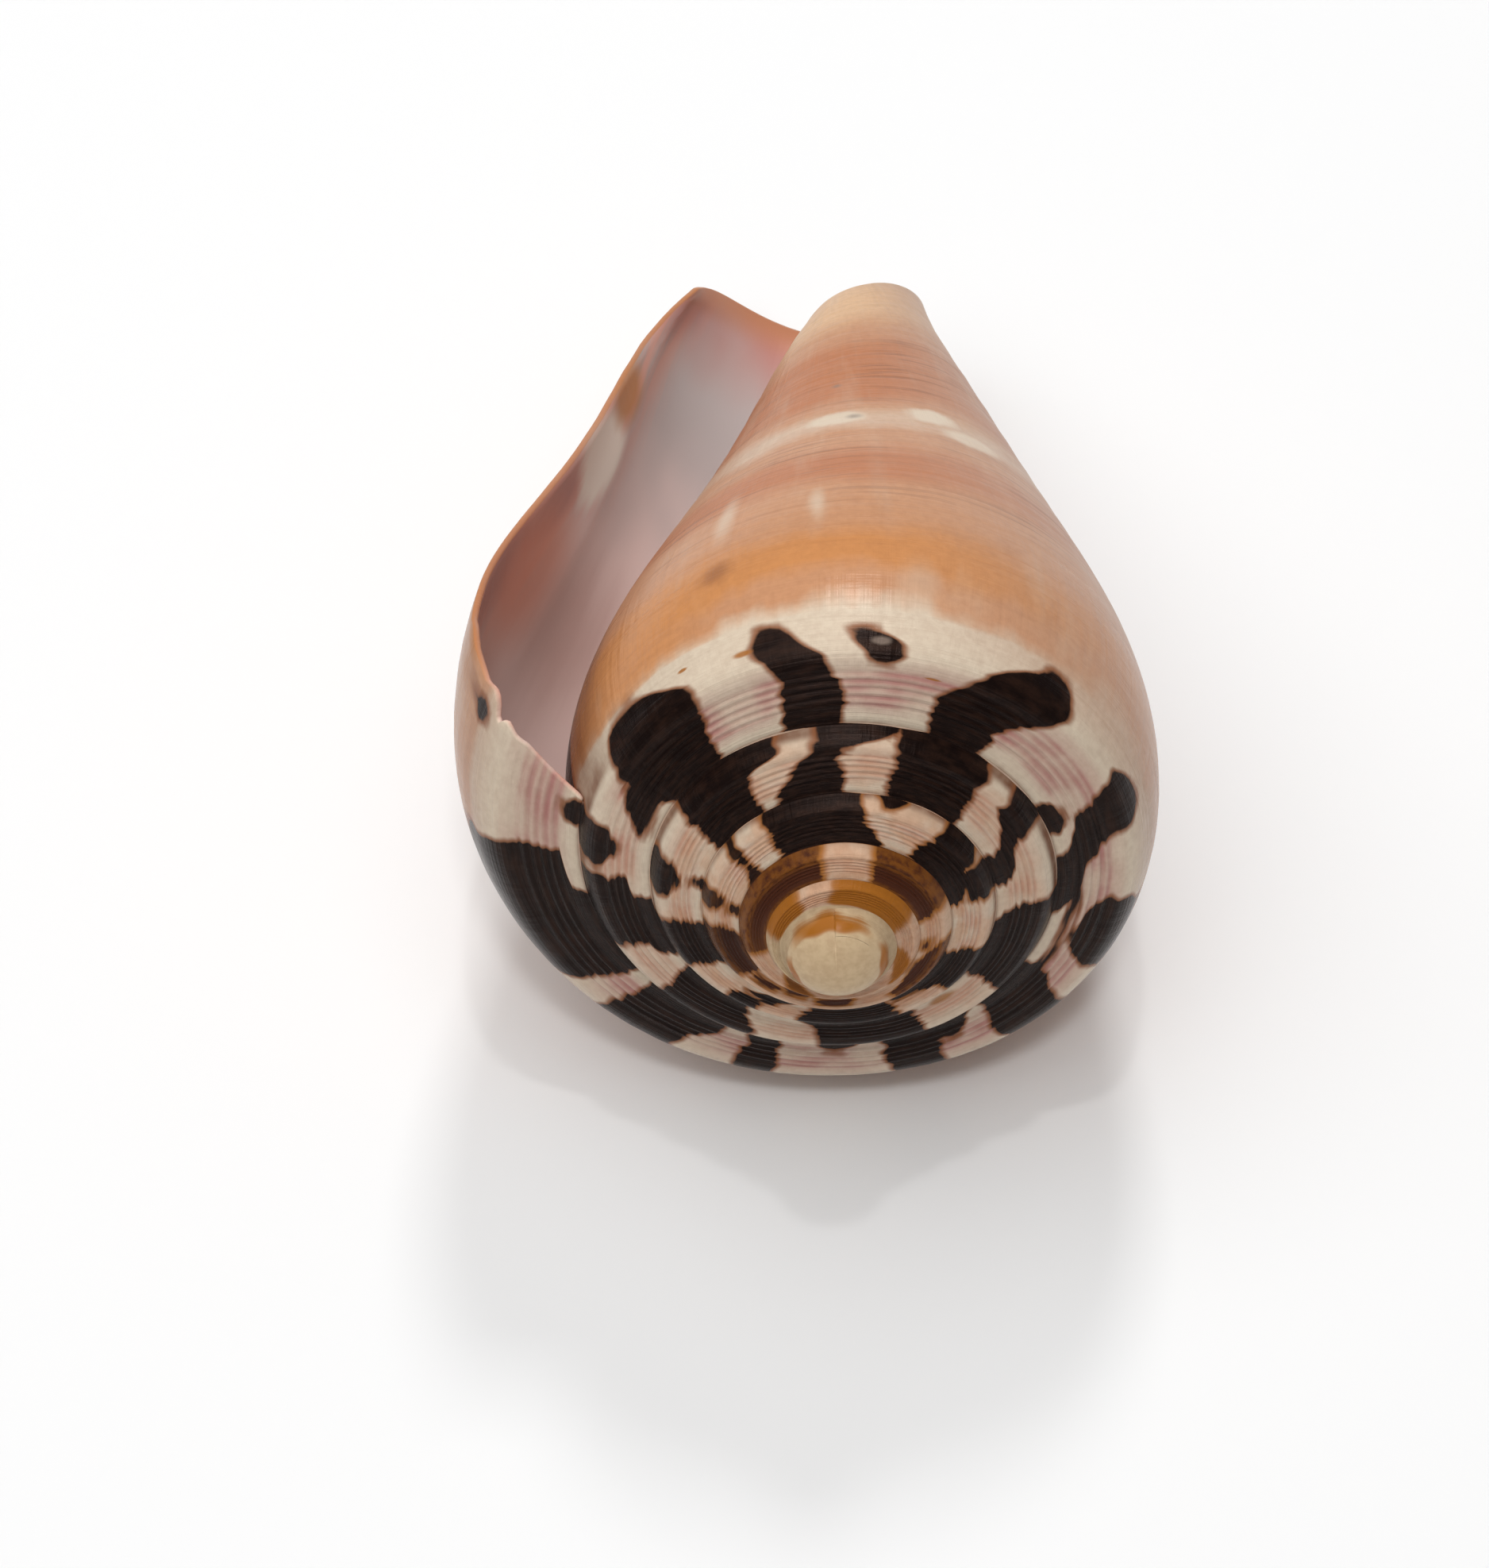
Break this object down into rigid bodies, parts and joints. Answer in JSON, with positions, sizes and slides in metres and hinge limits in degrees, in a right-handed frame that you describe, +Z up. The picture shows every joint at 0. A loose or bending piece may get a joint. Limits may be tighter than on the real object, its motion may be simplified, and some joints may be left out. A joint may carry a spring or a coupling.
{
  "type": "cone shell",
  "caption": "Coiled cone-shaped sea shell with a stepped low spire, long narrow aperture, thin lip and open front canal, lying on its side.",
  "frame": {"origin": "centre of the resting footprint's bounding box, on the floor", "axes": "+Z up, -Y towards the apex of the spire, +Y towards the narrow front end, -X the aperture side"},
  "size_m": [0.0354, 0.06, 0.0325],
  "materials": {
    "shell": "natural polished shell, satin to glossy"
  },
  "bodies": {
    "root": {"shell": "shell"}
  },
  "joints": []
}
